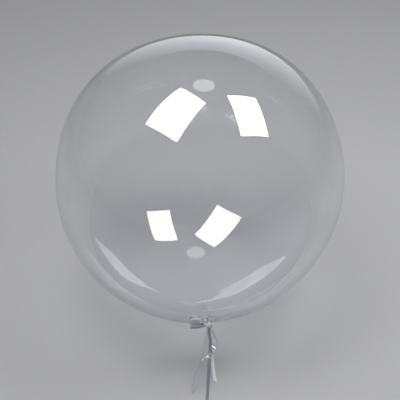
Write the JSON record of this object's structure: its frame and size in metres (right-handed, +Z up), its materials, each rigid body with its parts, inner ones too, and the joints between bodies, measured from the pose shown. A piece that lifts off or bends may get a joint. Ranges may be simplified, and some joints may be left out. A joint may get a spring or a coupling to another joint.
{
  "type": "bubble balloon",
  "caption": "Round clear film bubble balloon tied at its neck with a satin ribbon bow, lying on a small flat spot with its film tail and ribbon ends on the floor.",
  "frame": {"origin": "middle of the flat spot that the film rests on, at floor level", "axes": "+Z up from the floor, -Y towards the neck and the film tail, +X to the right seen from the neck side"},
  "size_m": [0.9139, 1.133, 0.9155],
  "materials": {
    "clear_film": "clear glossy plastic film",
    "satin_ribbon": "satin"
  },
  "bodies": {
    "root": {"bubble": "clear_film", "ribbon_bow": "satin_ribbon", "ribbon_short_end": "satin_ribbon", "ribbon_long_end": "satin_ribbon", "ribbon_coil": "satin_ribbon"}
  },
  "joints": []
}
